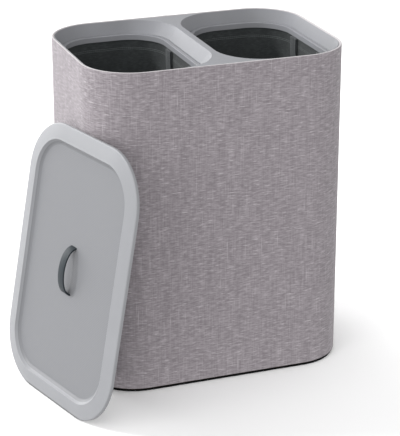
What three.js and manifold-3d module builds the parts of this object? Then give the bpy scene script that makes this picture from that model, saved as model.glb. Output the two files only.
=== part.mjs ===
// A laundry hamper with two lift-out bags, its lid leaning against the left end.
// Millimetres, +Z up. The origin is the middle of the base on the floor, +X runs along
// the long side to the right and +Y to the back.
import * as THREE from 'three';
import { mergeVertices } from 'three/addons/utils/BufferGeometryUtils.js';
import Module from 'manifold-3d';

const wasm = await Module();
wasm.setup();

// Driving dimensions

const body = { width: 505, depth: 360, height: 624, corner: 95 };

const fabric = { thickness: 0.9, foldDepth: 25, edgeRadius: 0.8, gapBelow: 0.4 };
const board = { thickness: 2.4 };
const liner = { thickness: 2.4, gapUnderFold: 5 };

const tray = {
  inset: 2.5, landHeight: 3, floorThickness: 3, landWidth: 14, landChamfer: 1,
  centreLandWidth: 26, upstandThickness: 3, upstandHeight: 22,
  dividerThickness: 3, dividerHeight: 14, dividerEndGap: 6,
};

const frame = {
  deckDrop: 0.8, deckThickness: 2.4, skirtThickness: 2.2, wall: 2.2, lip: 1.2,
  crossbarWidth: 13, slopeDepth: 23, slopeInset: 9.2, crossbarSlopeInset: 15.5,
  edgeRadius: 0.8, shelfDrop: 3, shelfWidth: 5, shelfThickness: 2.2,
  webThickness: 2, webDepth: 14,
};

const rim = { flangeThickness: 2.2, bandThickness: 2, bandDepth: 8, edgeRadius: 0.6 };

const bag = { wall: 1.2, taper: 5, straightDepth: 60, bottomRadius: 12, floorClearance: 4 };
const bagBase = { thickness: 3, sideClearance: 1.5 };

const strap = {
  width: 25, thickness: 2, cornerGap: 10.5, legLength: 20, patchGap: 0.5, belowRim: 2,
};
const patch = { thickness: 2.4, height: 34, cornerRadius: 3 };

const lid = {
  overhang: 2.8, cornerExtra: 9, wall: 2.4, edgeHeight: 6.2, edgeRadius: 1.6,
  footChamfer: 0.6, bandWidth: 31, bandRise: 5.3, innerRadius: 1.8, stepWidth: 8, stepDrop: 7.9,
  panelThickness: 2.4, panelLapTop: 0.6, panelLapBottom: 2.4,
  ribInset: 10, ribThickness: 2.4, ribDepth: 6, ribTaper: 0.4, ribRootDrop: 1.2,
  leanDegrees: 10.65, yawDegrees: 14.5, slideAlongCorner: 22.7,
};

const lidHandle = {
  span: 92, rise: 21.5, width: 18, thickness: 3, shoulder: 5,
  barWidth: 28, barHeight: 2.6, barLength: 5, curveRiseShare: 0.75,
};
const retainer = { width: 34, length: 14, thickness: 2, cornerRadius: 3 };

// Clearances and facet counts shared by the pieces

const wrapGap = 0.3;
const slidingGap = 0.6;
const bagHoleGap = 0.8;
const restGap = 0.3;
const overrun = 2;
const cornerSteps = 10;
const smallCornerSteps = 4;
const roundSteps = 3;
const creaseSteps = 2;
const bandSteps = 5;
const archSteps = 16;

// Outlines are rounded rectangles, written as a centre, half sizes and a corner radius

const grow = (outline, by) => ({
  x: outline.x, y: outline.y,
  halfX: outline.halfX + by, halfY: outline.halfY + by, corner: outline.corner + by,
});

function outlinePoints({ x, y, halfX, halfY, corner, steps = cornerSteps }) {
  const points = [];
  for (let quarter = 0; quarter < 4; quarter += 1) {
    const signX = quarter === 0 || quarter === 3 ? 1 : -1;
    const signY = quarter < 2 ? 1 : -1;
    for (let step = 0; step <= steps; step += 1) {
      const angle = (quarter + step / steps) * Math.PI / 2;
      points.push(new THREE.Vector2(
        x + signX * (halfX - corner) + corner * Math.cos(angle),
        y + signY * (halfY - corner) + corner * Math.sin(angle),
      ));
    }
  }
  return points;
}

// Walls between rings of points. A loop joins the last ring to the first, as round a
// frame; otherwise both ends are capped, and the last cap faces the way the walls went
function skin(rings, isLoop) {
  const count = rings[0].length;
  const positions = rings.flat().flatMap((point) => [point.x, point.y, point.z]);
  const indices = [];
  const lastRing = isLoop ? rings.length : rings.length - 1;
  for (let ring = 0; ring < lastRing; ring += 1) {
    const low = ring * count;
    const high = ((ring + 1) % rings.length) * count;
    for (let here = 0; here < count; here += 1) {
      const next = (here + 1) % count;
      indices.push(low + here, low + next, high + next, low + here, high + next, high + here);
    }
  }
  if (!isLoop) {
    const end = (rings.length - 1) * count;
    for (let here = 1; here < count - 1; here += 1) {
      indices.push(0, here + 1, here, end, end + here, end + here + 1);
    }
  }
  const geometry = new THREE.BufferGeometry();
  geometry.setAttribute('position', new THREE.Float32BufferAttribute(positions, 3));
  geometry.setIndex(indices);
  return geometry;
}

const ringAt = ({ outline, z }) =>
  outlinePoints(outline).map((point) => new THREE.Vector3(point.x, point.y, z));

const loft = (sections) => skin(sections.map(ringAt), false);

// A closed profile swept round an outline. Its points are [inset, height] pairs that go
// up the outside, inwards over the top and down the inside
const sweep = (outline, profile) =>
  skin(profile.map(([inset, z]) => ringAt({ outline: grow(outline, -inset), z })), true);

const sleeve = (outline, thickness, bottom, top) =>
  sweep(outline, [[0, bottom], [0, top], [thickness, top], [thickness, bottom]]);

// Points of a round stretch in a profile, about a centre, between two angles
function arc([inset, z], radius, fromDegrees, toDegrees, steps = roundSteps) {
  const points = [];
  for (let step = 0; step <= steps; step += 1) {
    const angle = THREE.MathUtils.degToRad(fromDegrees + (toDegrees - fromDegrees) * step / steps);
    points.push([inset - radius * Math.cos(angle), z + radius * Math.sin(angle)]);
  }
  return points;
}

// Joining and cutting of solids

function toSolid(geometry) {
  const bare = geometry.clone();
  bare.deleteAttribute('normal');
  bare.deleteAttribute('uv');
  const merged = mergeVertices(bare);
  return new wasm.Manifold(new wasm.Mesh({
    numProp: 3,
    vertProperties: Float32Array.from(merged.attributes.position.array),
    triVerts: Uint32Array.from(merged.index.array),
  }));
}

function toGeometry(solid) {
  const { vertProperties, triVerts } = solid.getMesh();
  const geometry = new THREE.BufferGeometry();
  geometry.setAttribute('position', new THREE.Float32BufferAttribute(vertProperties, 3));
  geometry.setIndex(Array.from(triVerts));
  return geometry;
}

function block(sizeX, sizeY, bottom, top, x = 0, y = 0) {
  return new THREE.BoxGeometry(sizeX, sizeY, top - bottom).translate(x, y, (bottom + top) / 2);
}

// Materials, with colours as photographed

const paint = (color, roughness, metalness = 0) =>
  new THREE.MeshStandardMaterial({ color, roughness, metalness });

const material = {
  linen: paint(0x8f898d, 0.95),
  board: paint(0xb7a58c, 0.9),
  liner: paint(0x3a3c3e, 0.95),
  blackPlastic: paint(0x121213, 0.55),
  greyPlastic: paint(0xa9abaf, 0.5),
  bagFabric: paint(0x3c4141, 0.95),
  webbing: paint(0x33383a, 0.9),
  strapPlastic: paint(0x6e767b, 0.45),
};

function part(name, geometry, finish) {
  const mesh = new THREE.Mesh(geometry, finish);
  mesh.name = name;
  geometry.computeVertexNormals();
  return mesh;
}

// Levels and outlines that several pieces share

const bodyOutline = {
  x: 0, y: 0, halfX: body.width / 2, halfY: body.depth / 2, corner: body.corner,
};
const boardOutline = grow(bodyOutline, -(fabric.thickness + wrapGap));
const innerOutline = grow(boardOutline, -(board.thickness + wrapGap));
const frameOutline = grow(innerOutline, -(fabric.thickness + wrapGap));

const trayFloor = tray.landHeight + tray.floorThickness;
const upstandTop = trayFloor + tray.upstandHeight;
const boardTop = body.height - fabric.thickness - wrapGap;
const linerTop = body.height - fabric.foldDepth - liner.gapUnderFold;
const deckTop = body.height - frame.deckDrop;
const slopeBottom = deckTop - frame.slopeDepth;
const shelfTop = slopeBottom - frame.shelfDrop;

// The two bins: each opening is as large as the frame leaves beside the crossbar
function binOutline(outerX, crossbarX, halfY, corner) {
  return { x: (outerX + crossbarX) / 2, y: 0, halfX: (outerX - crossbarX) / 2, halfY, corner };
}
const openingOutline = binOutline(
  frameOutline.halfX - frame.lip, frame.crossbarWidth / 2,
  frameOutline.halfY - frame.lip, frameOutline.corner - frame.lip,
);
const slopeFoot = binOutline(
  frameOutline.halfX - frame.lip - frame.slopeInset,
  frame.crossbarWidth / 2 + frame.crossbarSlopeInset,
  openingOutline.halfY - frame.slopeInset, openingOutline.corner - frame.slopeInset,
);
const bagHole = grow(slopeFoot, -frame.shelfWidth);
const bagOutline = grow(bagHole, -bagHoleGap);
const mirrored = (outline) => ({ ...outline, x: -outline.x });

// The base: a black tray that stands on a rim and a strip across its middle, with an
// upstand that the walls are pushed over and a low divider between the bags
function baseTray() {
  const outer = grow(bodyOutline, -tray.inset);
  const floor = toSolid(loft([
    { outline: outer, z: tray.landHeight },
    { outline: outer, z: trayFloor },
  ]));
  const land = toSolid(sweep(outer, [
    [tray.landChamfer, 0], [0, tray.landChamfer],
    [0, tray.landHeight + tray.floorThickness / 2],
    [tray.landWidth, tray.landHeight + tray.floorThickness / 2], [tray.landWidth, 0],
  ]));
  const centreLand = toSolid(block(
    tray.centreLandWidth, 2 * (outer.halfY - tray.landWidth / 2),
    0, tray.landHeight + tray.floorThickness / 2,
  ));
  const upstand = toSolid(sleeve(
    innerOutline, tray.upstandThickness, trayFloor - tray.floorThickness / 2, upstandTop,
  ));
  const dividerHalf = innerOutline.halfY - tray.upstandThickness - tray.dividerEndGap;
  const divider = toSolid(block(
    tray.dividerThickness, 2 * dividerHalf,
    trayFloor - tray.floorThickness / 2, trayFloor + tray.dividerHeight,
  ));
  return toGeometry(floor.add(land).add(centreLand).add(upstand).add(divider));
}

// The cover: one skin of cloth up the outside, over the top edge and tucked in
function fabricCover() {
  const radius = fabric.edgeRadius;
  const across = 2 * (fabric.thickness + wrapGap) + board.thickness;
  const top = body.height;
  const foldBottom = top - fabric.foldDepth;
  const inside = top - fabric.thickness;
  return sweep(bodyOutline, [
    [0, trayFloor + fabric.gapBelow],
    ...arc([radius, top - radius], radius, 0, 90),
    ...arc([across - radius, top - radius], radius, 90, 180),
    [across, foldBottom], [across - fabric.thickness, foldBottom],
    [across - fabric.thickness, inside], [fabric.thickness, inside],
    [fabric.thickness, trayFloor + fabric.gapBelow],
  ]);
}

// The top frame: a deck with two funnels that end in shelves for the bags' rims, and a
// skirt all round that stands on the liner
function topFrame() {
  const deck = toSolid(loft([
    { outline: frameOutline, z: deckTop - frame.deckThickness },
    { outline: frameOutline, z: deckTop },
  ]));
  const skirt = toSolid(sleeve(frameOutline, frame.skirtThickness, linerTop, deckTop));
  const envelope = toSolid(loft([
    { outline: frameOutline, z: linerTop },
    { outline: frameOutline, z: deckTop },
  ]));
  const web = toSolid(block(
    frame.webThickness, 2 * (frameOutline.halfY - frame.skirtThickness / 2),
    deckTop - frame.deckThickness - frame.webDepth, deckTop - frame.deckThickness / 2,
  ));
  let shell = deck.add(skirt).add(web);
  for (const side of [openingOutline, mirrored(openingOutline)]) {
    const foot = side.x > 0 ? slopeFoot : mirrored(slopeFoot);
    shell = shell.add(toSolid(loft([
      { outline: grow(foot, frame.wall), z: shelfTop - frame.shelfThickness },
      { outline: grow(foot, frame.wall), z: slopeBottom },
      { outline: grow(side, frame.wall), z: deckTop },
    ])));
  }
  shell = shell.intersect(envelope);
  for (const side of [openingOutline, mirrored(openingOutline)]) {
    const foot = side.x > 0 ? slopeFoot : mirrored(slopeFoot);
    const edge = frame.edgeRadius;
    const rounded = arc([edge, -edge], edge, 0, 90)
      .map(([inset, z]) => ({ outline: grow(side, inset), z: deckTop + z }));
    shell = shell.subtract(toSolid(loft([
      { outline: grow(foot, -frame.shelfWidth), z: linerTop - overrun },
      { outline: grow(foot, -frame.shelfWidth), z: shelfTop },
      { outline: foot, z: shelfTop },
      { outline: foot, z: slopeBottom },
      ...rounded,
      { outline: grow(side, edge), z: deckTop + overrun },
    ])));
  }
  return toGeometry(shell);
}

// A bag's rim: a flange on the frame's shelf and a band that the cloth hangs from
function bagRim() {
  const radius = rim.edgeRadius;
  const flange = grow(slopeFoot, -slidingGap);
  const bandOuter = frame.shelfWidth + bagHoleGap - slidingGap + bag.wall + restGap;
  const bandInner = bandOuter + rim.bandThickness;
  const under = shelfTop + restGap;
  const top = under + rim.flangeThickness;
  return sweep({ ...flange, x: 0 }, [
    [0, under],
    ...arc([radius, top - radius], radius, 0, 90),
    ...arc([bandInner - radius, top - radius], radius, 90, 180),
    [bandInner, under - rim.bandDepth], [bandOuter, under - rim.bandDepth], [bandOuter, under],
  ]);
}

// A bag: cloth walls that taper a little to a rounded bottom edge
const bagTop = shelfTop;
const bagBottom = trayFloor + bag.floorClearance;
const bagInner = grow({ ...bagOutline, x: 0 }, -bag.wall);

function bagShell() {
  const outer = { ...bagOutline, x: 0 };
  const foot = grow(outer, -bag.taper);
  const radius = bag.bottomRadius;
  const bottomRound = arc([radius, radius], radius, -90, 0)
    .map(([inset, z]) => ({ outline: grow(foot, -inset), z: bagBottom + z }));
  const innerRadius = radius - bag.wall;
  const innerRound = arc([radius, radius], innerRadius, 0, -90)
    .map(([inset, z]) => ({ outline: grow(foot, -inset), z: bagBottom + z }));
  return loft([
    ...bottomRound,
    { outline: outer, z: bagTop - bag.straightDepth },
    { outline: outer, z: bagTop },
    { outline: bagInner, z: bagTop },
    { outline: bagInner, z: bagTop - bag.straightDepth },
    ...innerRound,
  ]);
}

// The stiff board that lies on a bag's floor
function bagBaseBoard() {
  const foot = grow({ ...bagOutline, x: 0 }, -(bag.taper + bag.bottomRadius));
  const bottom = bagBottom + bag.wall + restGap;
  const outline = grow(foot, -bagBase.sideClearance);
  return loft([{ outline, z: bottom }, { outline, z: bottom + bagBase.thickness }]);
}

// A flat shape drawn across the bag's wall, turned to stand along it
const onWall = (shape, thickness, curveSegments) => new THREE.ExtrudeGeometry(shape, {
  depth: thickness, bevelEnabled: false, curveSegments,
}).translate(0, 0, -thickness / 2).rotateX(Math.PI / 2).rotateZ(Math.PI / 2);

// A bag's handle: a webbing loop that hangs down from its two patches, which stay on the
// flat of the wall, clear of its rounded corners
const strapEnd = bagInner.halfY - bagInner.corner - strap.cornerGap - strap.width / 2;

function bagHandle() {
  const outer = strapEnd + strap.width / 2;
  const inner = strapEnd - strap.width / 2;
  const shape = new THREE.Shape();
  shape.moveTo(outer, 0);
  shape.lineTo(inner, 0);
  shape.lineTo(inner, -strap.legLength);
  shape.absarc(0, -strap.legLength, inner, 0, -Math.PI, true);
  shape.lineTo(-inner, 0);
  shape.lineTo(-outer, 0);
  shape.lineTo(-outer, -strap.legLength);
  shape.absarc(0, -strap.legLength, outer, Math.PI, 2 * Math.PI, false);
  return onWall(shape, strap.thickness, archSteps);
}

// The patch of doubled webbing that holds one end of a handle to the bag's wall
function handlePatch() {
  const { cornerRadius: radius, height } = patch;
  const half = strap.width / 2;
  const shape = new THREE.Shape();
  shape.moveTo(half, 0);
  shape.lineTo(-half, 0);
  shape.lineTo(-half, radius - height);
  shape.absarc(radius - half, radius - height, radius, Math.PI, 1.5 * Math.PI, false);
  shape.absarc(half - radius, radius - height, radius, 1.5 * Math.PI, 2 * Math.PI, false);
  return onWall(shape, patch.thickness, smallCornerSteps);
}

// The lid, drawn lying flat: +X along it, +Z out of its upper face, its edge at height 0
const lidOutline = {
  ...grow(bodyOutline, lid.overhang), corner: body.corner + lid.cornerExtra,
};
const bandTop = lid.edgeHeight + lid.bandRise;
const panelTop = bandTop - lid.stepDrop;
const panelBottom = panelTop - lid.panelThickness;
const panelInset = lid.bandWidth + lid.stepWidth;

// Height of the domed band above the lid's edge
const bandHeight = (inset) =>
  lid.edgeHeight + lid.bandRise * Math.sin(Math.min(inset / lid.bandWidth, 1) * Math.PI / 2);

function lidPanel() {
  const radius = lid.edgeRadius;
  const crest = lid.bandWidth - lid.innerRadius;
  const dome = [];
  const vault = [];
  for (let step = 1; step < bandSteps; step += 1) {
    const inset = radius + (crest - radius) * step / bandSteps;
    dome.push([inset, bandHeight(inset)]);
    const under = lid.ribInset + lid.ribThickness + (crest - lid.ribInset - lid.ribThickness)
      * (1 - step / bandSteps);
    vault.push([under, bandHeight(under) - lid.wall]);
  }
  const ribTop = bandHeight(lid.ribInset) - lid.wall;
  const band = toSolid(sweep(lidOutline, [
    [lid.footChamfer, 0],
    [0, lid.footChamfer],
    ...arc([radius, lid.edgeHeight - radius], radius, 0, 90),
    ...dome,
    ...arc([crest, bandTop - lid.innerRadius], lid.innerRadius, 90, 135, creaseSteps),
    [panelInset, panelTop], [panelInset, panelBottom],
    [crest, bandTop - lid.wall],
    ...vault,
    [lid.ribInset + lid.ribThickness, ribTop],
    [lid.ribInset + lid.ribThickness - lid.ribTaper, -lid.ribDepth],
    [lid.ribInset + lid.ribTaper, -lid.ribDepth],
    [lid.ribInset, ribTop - lid.ribRootDrop],
    [lid.wall, lid.edgeHeight - lid.wall], [lid.wall, 0],
  ]));
  const plate = toSolid(loft([
    { outline: grow(lidOutline, -(panelInset - lid.panelLapBottom)), z: panelBottom },
    { outline: grow(lidOutline, -(panelInset - lid.panelLapTop)), z: panelTop },
  ]));
  let panel = band.add(plate);
  const notch = frame.crossbarWidth / 2 + openingOutline.corner;
  panel = panel.subtract(toSolid(block(
    2 * notch, 2 * (lidOutline.halfY - lid.wall), -lid.ribDepth - overrun, -restGap,
  )));
  for (const end of [-1, 1]) {
    panel = panel.subtract(toSolid(block(
      lidHandle.thickness + 2 * restGap, lidHandle.width + 2 * restGap,
      panelBottom - overrun, panelTop + overrun,
      end * (lidHandle.span - lidHandle.thickness) / 2,
    )));
  }
  return toGeometry(panel);
}

// The lid's strap handle: a low arch whose legs pass through the panel and the
// retainers and end in cross bars. The arch is a curve that rises to three quarters of
// its control points' height
const retainerTop = panelBottom - restGap;
const retainerBottom = retainerTop - retainer.thickness;
const barTop = retainerBottom - restGap;

function lidStrap() {
  const half = lidHandle.span / 2;
  const thick = lidHandle.thickness;
  const archRise = (rise) => panelTop + rise / lidHandle.curveRiseShare;
  const shape = new THREE.Shape();
  shape.moveTo(-half, barTop - lidHandle.barHeight / 2);
  shape.lineTo(-half, panelTop);
  shape.bezierCurveTo(
    lidHandle.shoulder - half, archRise(lidHandle.rise),
    half - lidHandle.shoulder, archRise(lidHandle.rise), half, panelTop,
  );
  shape.lineTo(half, barTop - lidHandle.barHeight / 2);
  shape.lineTo(half - thick, barTop - lidHandle.barHeight / 2);
  shape.lineTo(half - thick, panelTop);
  shape.bezierCurveTo(
    half - thick - lidHandle.shoulder, archRise(lidHandle.rise - thick),
    lidHandle.shoulder + thick - half, archRise(lidHandle.rise - thick), thick - half, panelTop,
  );
  shape.lineTo(thick - half, barTop - lidHandle.barHeight / 2);
  const arch = new THREE.ExtrudeGeometry(shape, {
    depth: lidHandle.width, bevelEnabled: false, curveSegments: archSteps,
  }).translate(0, 0, -lidHandle.width / 2).rotateX(Math.PI / 2);
  let solid = toSolid(arch);
  for (const end of [-1, 1]) {
    solid = solid.add(toSolid(block(
      lidHandle.barLength, lidHandle.barWidth, barTop - lidHandle.barHeight, barTop,
      end * (half - thick / 2),
    )));
  }
  return toGeometry(solid);
}

function handleRetainer() {
  const outline = {
    x: 0, y: 0, halfX: retainer.length / 2, halfY: retainer.width / 2,
    corner: retainer.cornerRadius, steps: smallCornerSteps,
  };
  const plate = toSolid(loft([
    { outline, z: retainerBottom }, { outline, z: retainerTop },
  ]));
  return toGeometry(plate.subtract(toSolid(block(
    lidHandle.thickness + 2 * restGap, lidHandle.width + 2 * restGap,
    retainerBottom - overrun, retainerTop + overrun,
  ))));
}

// The assembly

const hamper = new THREE.Group();
hamper.add(
  part('base_tray', baseTray(), material.blackPlastic),
  part('body_board', sleeve(boardOutline, board.thickness, trayFloor, boardTop), material.board),
  part('liner_board', sleeve(innerOutline, liner.thickness, upstandTop, linerTop), material.liner),
  part('fabric_cover', fabricCover(), material.linen),
  part('top_frame', topFrame(), material.greyPlastic),
);

// The bags: each has a rim, its cloth, a floor board and two handles on its long walls
const strapPlane = bagInner.halfX - restGap - patch.thickness - strap.patchGap
  - strap.thickness / 2;
const patchPlane = bagInner.halfX - restGap - patch.thickness / 2;
const strapPivotZ = shelfTop + restGap - rim.bandDepth - strap.belowRim;

for (const [bagName, side] of [['left_bag', -1], ['right_bag', 1]]) {
  const group = new THREE.Group();
  group.position.x = side * bagOutline.x;
  group.add(
    part(bagName, bagShell(), material.bagFabric),
    part(`${bagName}_rim`, bagRim(), material.greyPlastic),
    part(`${bagName}_floor_board`, bagBaseBoard(), material.liner),
  );
  for (const [wallName, wall] of [['inner', -side], ['outer', side]]) {
    const handle = part(`${bagName}_handle_${wallName}`, bagHandle(), material.webbing);
    handle.position.set(wall * strapPlane, 0, strapPivotZ);
    group.add(handle);
    for (const [endName, end] of [['front', -1], ['back', 1]]) {
      const name = `${bagName}_patch_${wallName}_${endName}`;
      const sewn = part(name, handlePatch(), material.webbing);
      sewn.position.set(wall * patchPlane, end * strapEnd, strapPivotZ);
      group.add(sewn);
    }
  }
  hamper.add(group);
}

// The lid stands on its lower edge and leans back, its rib against the hamper's rounded
// corner
const yaw = THREE.MathUtils.degToRad(lid.yawDegrees);
const lean = THREE.MathUtils.degToRad(lid.leanDegrees);
const lidLength = 2 * lidOutline.halfX;
const reach = (lidLength - lid.ribInset - lid.ribTaper) * Math.sin(lean)
  + lid.ribDepth * Math.cos(lean);
const towards = new THREE.Vector2(Math.cos(yaw), Math.sin(yaw));
const along = new THREE.Vector2(Math.sin(yaw), -Math.cos(yaw));
const cornerCentre = new THREE.Vector2(
  body.corner - bodyOutline.halfX, body.corner - bodyOutline.halfY,
);
const lidFoot = cornerCentre.clone()
  .addScaledVector(towards, -(body.corner + restGap + reach))
  .addScaledVector(along, lid.slideAlongCorner);

const lidTurn = new THREE.Group();
lidTurn.position.set(lidFoot.x, lidFoot.y, 0);
lidTurn.rotation.z = yaw;
const lidLean = new THREE.Group();
lidLean.rotation.y = lean - Math.PI / 2;
lidTurn.add(lidLean);
const lidFlat = new THREE.Group();
lidFlat.position.x = lidLength / 2;
lidLean.add(lidFlat);
lidFlat.add(
  part('lid_panel', lidPanel(), material.greyPlastic),
  part('lid_handle', lidStrap(), material.strapPlastic),
);
for (const [endName, end] of [['lower', -1], ['upper', 1]]) {
  const plate = part(`lid_handle_retainer_${endName}`, handleRetainer(), material.blackPlastic);
  plate.position.x = end * (lidHandle.span - lidHandle.thickness) / 2;
  lidFlat.add(plate);
}
hamper.add(lidTurn);
hamper.updateMatrixWorld(true);

export default hamper;
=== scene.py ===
import math

import bmesh
import bpy
from mathutils import Matrix, Vector, noise


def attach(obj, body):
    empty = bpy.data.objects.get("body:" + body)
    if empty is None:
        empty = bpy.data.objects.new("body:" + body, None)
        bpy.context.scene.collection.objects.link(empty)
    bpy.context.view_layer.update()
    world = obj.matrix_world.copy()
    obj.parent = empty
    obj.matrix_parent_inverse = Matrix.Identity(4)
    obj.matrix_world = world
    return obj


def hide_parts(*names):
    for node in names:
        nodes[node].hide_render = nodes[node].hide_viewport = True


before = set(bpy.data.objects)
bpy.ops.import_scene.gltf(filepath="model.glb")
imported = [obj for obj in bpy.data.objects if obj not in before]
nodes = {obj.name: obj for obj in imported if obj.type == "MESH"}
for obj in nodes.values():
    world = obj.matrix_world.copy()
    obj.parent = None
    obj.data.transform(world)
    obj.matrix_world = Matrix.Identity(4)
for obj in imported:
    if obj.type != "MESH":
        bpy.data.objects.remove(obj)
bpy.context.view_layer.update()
print("frame loaded:", len(nodes), "nodes")

near = 1e-6  # metres: two places closer than this are the same
squarely = 0.9  # a face looks along an axis when its normal has this much of it
past = 0.004  # metres: a cutter reaches this far past what it cuts


# Editing, as it is done by hand

def closeEdit():
    bpy.ops.object.mode_set(mode="OBJECT")


# leaves edit mode and selects these objects alone
def pickOnly(*objects):
    if bpy.context.object and bpy.context.object.mode == "EDIT":
        closeEdit()
    bpy.ops.object.select_all(action="DESELECT")
    for item in objects:
        item.select_set(True)
    if objects:
        bpy.context.view_layer.objects.active = objects[0]


def openEdit(piece):
    pickOnly(piece)
    bpy.ops.object.mode_set(mode="EDIT")


# kind is FACE, EDGE or VERT; test says which of them are picked
def pick(piece, kind, test):
    bpy.ops.mesh.select_mode(type=kind)
    bpy.ops.mesh.select_all(action="DESELECT")
    mesh = bmesh.from_edit_mesh(piece.data)
    for item in {"FACE": mesh.faces, "EDGE": mesh.edges, "VERT": mesh.verts}[kind]:
        if test(item):
            item.select_set(True)
    mesh.select_flush_mode()
    bmesh.update_edit_mesh(piece.data)


def pickAll():
    bpy.ops.mesh.select_all(action="SELECT")


# how far an edge runs along x, y or z
def run(edge, axis):
    first, second = edge.verts
    return abs(getattr(first.co, axis) - getattr(second.co, axis))


def pickUprights(piece):
    pick(piece, "EDGE", lambda edge: run(edge, "z") > near)


def extrudeBy(x=0, y=0, z=0):
    bpy.ops.mesh.extrude_region_move(TRANSFORM_OT_translate={"value": (x, y, z)})


def bevelPicked(width, steps, affect="EDGES"):
    bpy.ops.mesh.bevel(offset=width, segments=steps, affect=affect)


def dropPicked():
    bpy.ops.mesh.delete(type="FACE")


def bridgeRims(piece):
    pick(piece, "EDGE", lambda edge: edge.is_boundary)
    bpy.ops.mesh.bridge_edge_loops()


def turnFacesOut():
    pickAll()
    bpy.ops.mesh.normals_make_consistent(inside=False)


def applyModifier(piece, kind, **settings):
    pickOnly(piece)
    modifier = piece.modifiers.new(kind.lower(), kind)
    for name, value in settings.items():
        setattr(modifier, name, value)
    bpy.ops.object.modifier_apply(modifier=modifier.name)


def cutAway(piece, *cutters):
    for cutter in cutters:
        applyModifier(piece, "BOOLEAN", operation="DIFFERENCE", solver="EXACT", object=cutter)
        bpy.data.objects.remove(cutter)


def joinAll(piece, *others):
    pickOnly(piece, *others)
    bpy.ops.object.join()


def smooth(piece, degrees=32, weighted=True):
    pickOnly(piece)
    bpy.ops.object.shade_smooth_by_angle(angle=math.radians(degrees))
    if weighted:
        applyModifier(piece, "WEIGHTED_NORMAL", keep_sharp=True)


# names and sizes the primitive just added, and opens it in edit mode
def openNew(name, size):
    piece = bpy.context.object
    piece.name = piece.data.name = name
    piece.scale = size
    bpy.ops.object.transform_apply(location=True, rotation=True, scale=True)
    openEdit(piece)
    return piece


def addBox(name, place, size):
    pickOnly()
    bpy.ops.mesh.primitive_cube_add(size=1, location=place)
    return openNew(name, size)


# Rounded outlines, the shape that all of this object's pieces share

def outline(halfX, halfY, corner, x=0.0, y=0.0):
    return {"x": x, "y": y, "halfX": halfX, "halfY": halfY, "corner": corner}


def grow(shape, by):
    return outline(shape["halfX"] + by, shape["halfY"] + by, shape["corner"] + by, shape["x"], shape["y"])


# the same outline on the left, side -1, or on the right, side 1
def onSide(shape, side):
    return dict(shape, x=side * shape["x"])


def lengthOf(shape):
    straights = 4 * (shape["halfX"] + shape["halfY"] - 2 * shape["corner"])
    return straights + 2 * math.pi * shape["corner"]


# a box bevelled down its upright edges, open in edit mode; cuts split its long straight sides
def roundedSlab(name, shape, low, high, steps, cuts=0):
    piece = addBox(name, (shape["x"], shape["y"], (low + high) / 2),
                   (2 * shape["halfX"], 2 * shape["halfY"], high - low))
    pickUprights(piece)
    bevelPicked(shape["corner"], steps)
    if cuts:
        facet = math.pi / 2 * shape["corner"] / steps
        pick(piece, "EDGE", lambda edge: run(edge, "z") < near and edge.calc_length() > 2 * facet)
        bpy.ops.mesh.subdivide(number_cuts=cuts)
    return piece


# walks a cap inwards, from where it is, through (inset, height) points
def stepIn(piece, isTop, start, points):
    levels = [vert.co.z for vert in bmesh.from_edit_mesh(piece.data).verts]
    level = max(levels) if isTop else min(levels)
    sign = 1 if isTop else -1
    pick(piece, "FACE", lambda face: face.normal.z * sign > squarely
         and abs(face.calc_center_median().z - level) < near)
    inset, height = start
    for nextInset, nextHeight in points:
        if nextInset - inset > near:
            bpy.ops.mesh.inset(thickness=nextInset - inset, depth=sign * (nextHeight - height))
        else:
            extrudeBy(z=nextHeight - height)
        inset, height = nextInset, nextHeight


# part of a round profile about a centre; 0 degrees looks outwards, 90 up and 180 inwards
def arc(inset, height, radius, fromDegrees, toDegrees, steps=4):
    turns = [math.radians(fromDegrees + (toDegrees - fromDegrees) * i / steps) for i in range(steps + 1)]
    return [(inset - radius * math.cos(turn), height + radius * math.sin(turn)) for turn in turns]


# an upright wall that follows an outline, with or without a small chamfer along its edges
def ringWall(name, shape, thickness, low, high, steps, edge=0.0):
    piece = roundedSlab(name, shape, low + edge, high - edge, steps)
    for isTop, level, start in ((True, high, high - edge), (False, low, low + edge)):
        chamfered = [(edge, level), (thickness - edge, level), (thickness, start)]
        stepIn(piece, isTop, (0, start), chamfered if edge else [(thickness, level)])
        dropPicked()
    bridgeRims(piece)
    closeEdit()
    return piece


# length along an outline from the middle of its back, seen from above and going right
def alongOutline(shape, x, y):
    x, y = x - shape["x"], y - shape["y"]
    straightX, straightY = shape["halfX"] - shape["corner"], shape["halfY"] - shape["corner"]
    bend = shape["corner"] * math.pi / 2
    outX, outY = abs(x) - straightX, abs(y) - straightY
    if outX <= 0:
        part = abs(x)
    elif outY > 0:
        part = straightX + shape["corner"] * math.atan2(outX, outY)
    else:
        part = straightX + bend - outY
    quarter = straightX + bend + straightY
    if y >= 0:
        return part if x >= 0 else 4 * quarter - part
    return 2 * quarter - part if x >= 0 else 2 * quarter + part


# how a place lies from the inner box that an outline's corners are rounded about
def fromCore(shape, place):
    x, y = place.x - shape["x"], place.y - shape["y"]
    return Vector((math.copysign(max(abs(x) - shape["halfX"] + shape["corner"], 0), x),
                   math.copysign(max(abs(y) - shape["halfY"] + shape["corner"], 0), y), 0))


def addMap(piece, name):
    layer = piece.data.uv_layers.new(name=name)
    piece.data.uv_layers.active = layer
    return layer


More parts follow.
